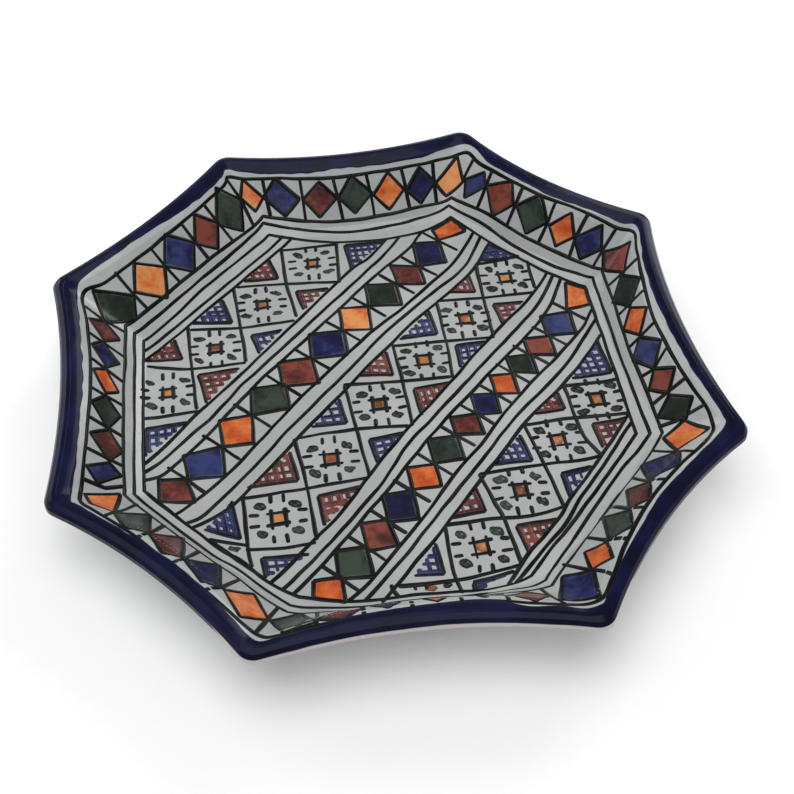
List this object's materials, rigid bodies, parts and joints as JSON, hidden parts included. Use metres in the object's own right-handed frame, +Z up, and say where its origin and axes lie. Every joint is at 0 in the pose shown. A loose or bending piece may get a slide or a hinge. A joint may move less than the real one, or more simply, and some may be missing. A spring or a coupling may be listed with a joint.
{
  "type": "painted ceramic dish",
  "caption": "Star-shaped glazed earthenware serving dish with a flat floor, sloping wall, rolled lip and hand painted geometric decoration.",
  "frame": {"origin": "under the middle of the dish, on the plane that the foot ring stands on", "axes": "+Z up through the middle of the dish; -Y is the side nearest to the person carrying it; +X to the right of that person"},
  "size_m": [0.273, 0.2766, 0.034],
  "materials": {
    "clay": "fired earthenware, matt and slightly gritty",
    "white_glaze": "glossy tin glaze, milky white with a grey cast",
    "blue_glaze": "glossy cobalt blue glaze, streaky from the brush",
    "paint_black": "black outline colour fired under the glaze",
    "paint_blue": "watery blue brush colour fired under the glaze",
    "paint_orange": "watery orange brush colour fired under the glaze",
    "paint_green": "dark green brush colour fired under the glaze",
    "paint_red": "brown-red brush colour fired under the glaze"
  },
  "bodies": {
    "root": {"clay_body": "clay", "foot_ring": "clay", "face_glaze": "white_glaze", "rim_glaze": "blue_glaze", "back_glaze": "white_glaze", "base_glaze": "white_glaze"}
  },
  "joints": []
}
